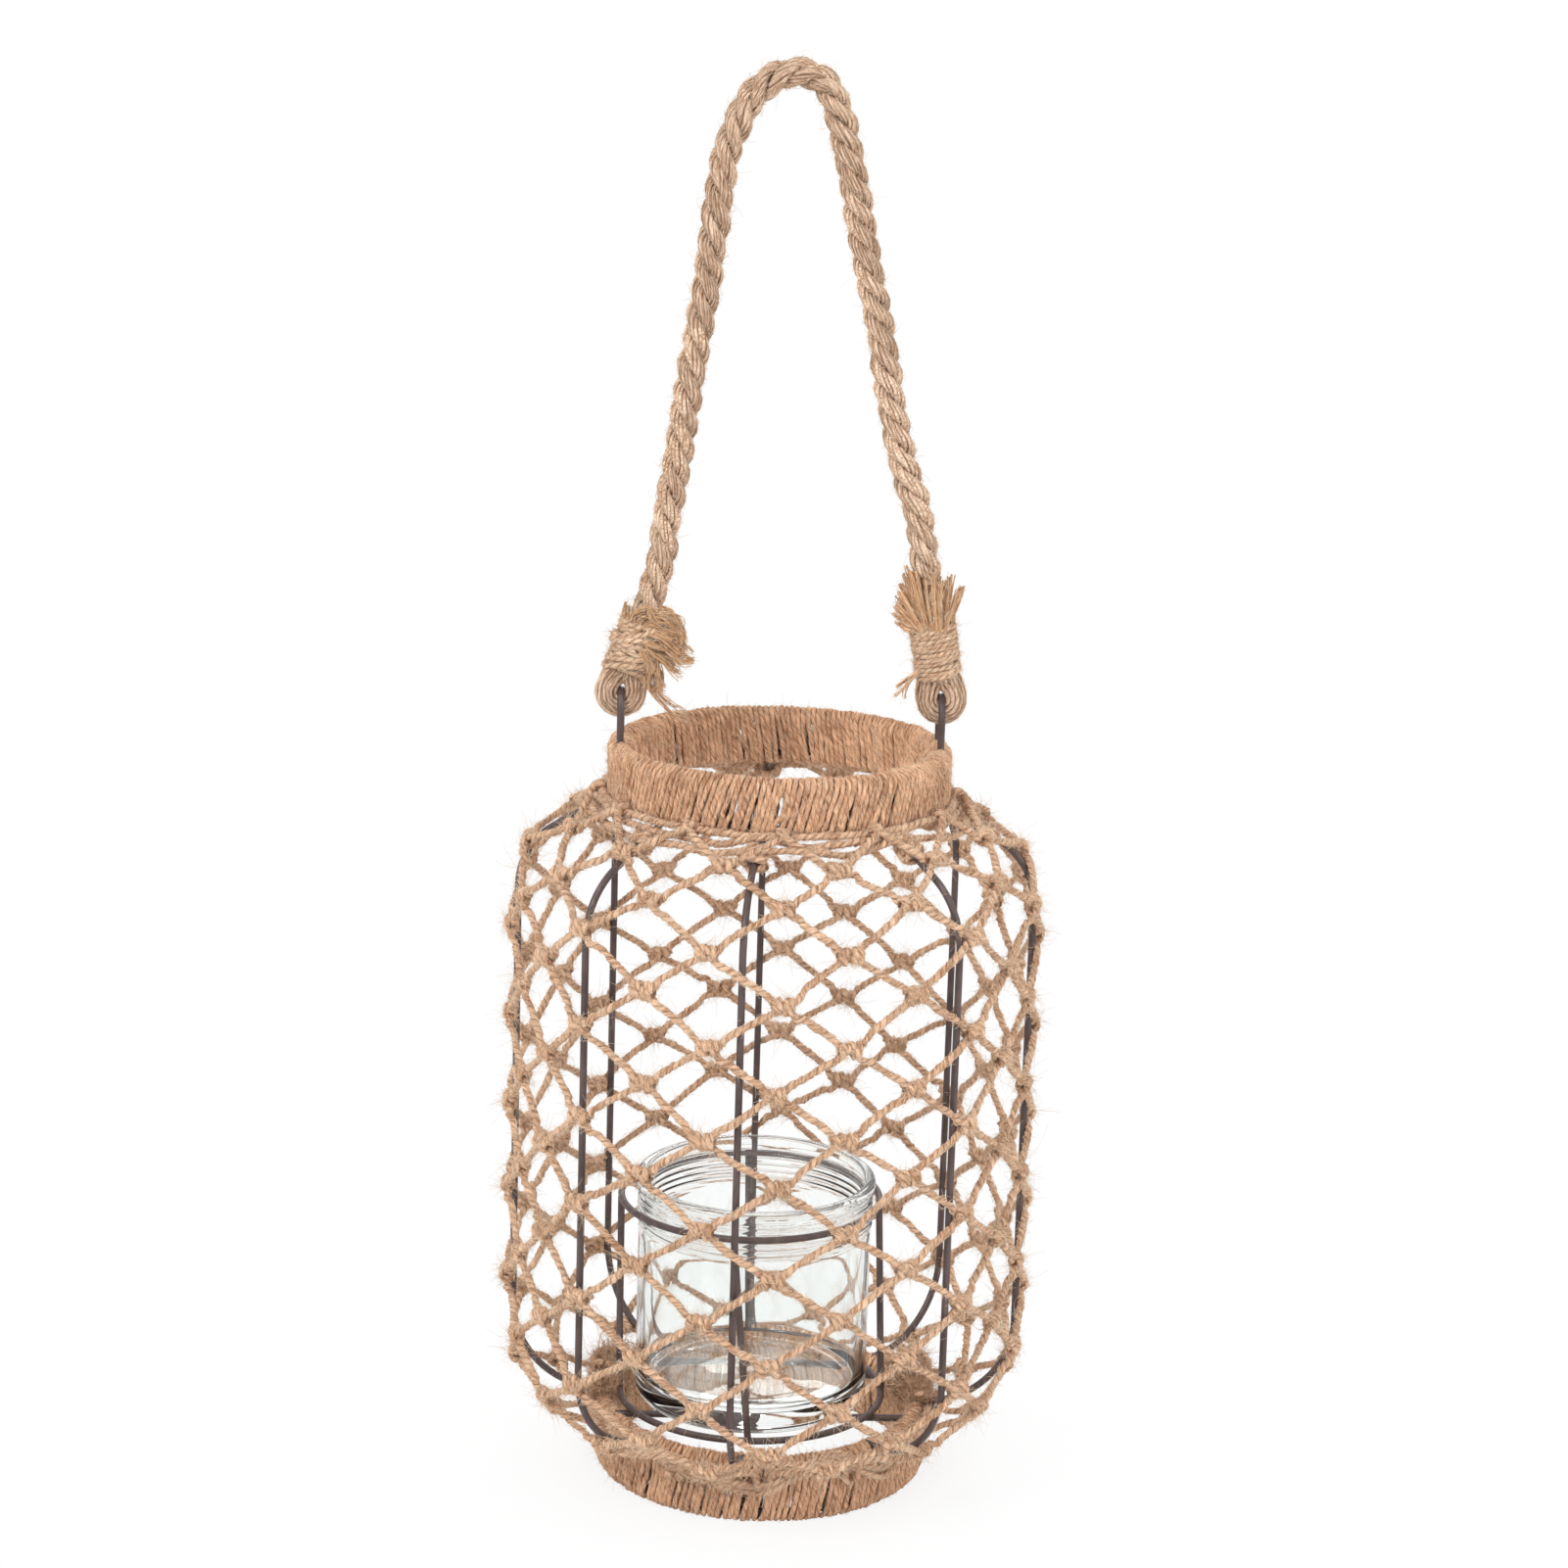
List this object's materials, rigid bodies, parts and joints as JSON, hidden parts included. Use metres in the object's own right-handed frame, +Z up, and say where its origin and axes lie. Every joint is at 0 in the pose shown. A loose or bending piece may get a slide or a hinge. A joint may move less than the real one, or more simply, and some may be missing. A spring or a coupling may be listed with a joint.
{
  "type": "candle lantern",
  "caption": "Standing or hanging candle lantern: a barrel of wire ribs in a knotted jute net between two twine-wound collars, with a glass jar in a wire cradle and a rope handle.",
  "frame": {"origin": "centre of the lower collar's foot, on the surface that the lantern stands on", "axes": "+Z up the lantern's axis; the two handle eyes lie on the X axis; -Y is the front"},
  "size_m": [0.2194, 0.2194, 0.5677],
  "materials": {
    "frame_wire": "dark brown painted steel wire, satin",
    "wound_twine": "natural jute twine wound close, hairy",
    "net_twine": "natural two-ply jute twine, knotted, hairy",
    "rope": "natural three-strand jute rope",
    "frayed_jute": "teased jute fibre",
    "jar_glass": "clear pressed glass with a faint green tint"
  },
  "bodies": {
    "lantern": {"upper_collar_top_ring": "frame_wire", "upper_collar_lower_ring": "frame_wire", "lower_collar_upper_ring": "frame_wire", "lower_collar_base_ring": "frame_wire", "rib_1": "frame_wire", "rib_2": "frame_wire", "rib_3": "frame_wire", "rib_4": "frame_wire", "rib_5": "frame_wire", "rib_6": "frame_wire", "rib_7": "frame_wire", "rib_8": "frame_wire", "handle_eye_left": "frame_wire", "handle_eye_right": "frame_wire", "cradle_neck_ring": "frame_wire", "cradle_base_ring": "frame_wire", "cradle_upright_1": "frame_wire", "cradle_upright_2": "frame_wire", "cradle_upright_3": "frame_wire", "cradle_upright_4": "frame_wire", "cradle_bar_front": "frame_wire", "cradle_bar_back": "frame_wire", "upper_collar_wrap": "wound_twine", "lower_collar_wrap": "wound_twine", "net_head_cord": "net_twine", "net_cord_1": "net_twine", "net_cord_2": "net_twine", "net_cord_3": "net_twine", "net_cord_4": "net_twine", "net_cord_5": "net_twine", "net_cord_6": "net_twine", "net_cord_7": "net_twine", "net_cord_8": "net_twine", "net_cord_9": "net_twine", "net_cord_10": "net_twine", "net_cord_11": "net_twine", "net_cord_12": "net_twine", "net_cord_13": "net_twine", "net_cord_14": "net_twine", "net_cord_15": "net_twine", "net_cord_16": "net_twine", "net_cord_17": "net_twine", "net_cord_18": "net_twine", "net_cord_19": "net_twine", "net_cord_20": "net_twine", "net_cord_21": "net_twine", "net_cord_22": "net_twine", "net_cord_23": "net_twine", "net_cord_24": "net_twine"},
    "jar": {"glass_jar": "jar_glass"},
    "handle": {"rope_handle": "rope", "rope_loop_left": "rope", "rope_loop_right": "rope", "whipping_left": "wound_twine", "whipping_right": "wound_twine", "frayed_ends_left": "frayed_jute", "frayed_ends_right": "frayed_jute"}
  },
  "joints": [
    {"name": "handle_swing", "type": "hinge", "parent": "lantern", "child": "handle", "pos_m": [0, 0, 0.3145], "axis": [1, 0, 0], "range_deg": [-80, 80]},
    {"name": "jar_lift", "type": "slide", "parent": "lantern", "child": "jar", "axis": [0, 0, 1], "range_m": [0, 0.204]}
  ]
}
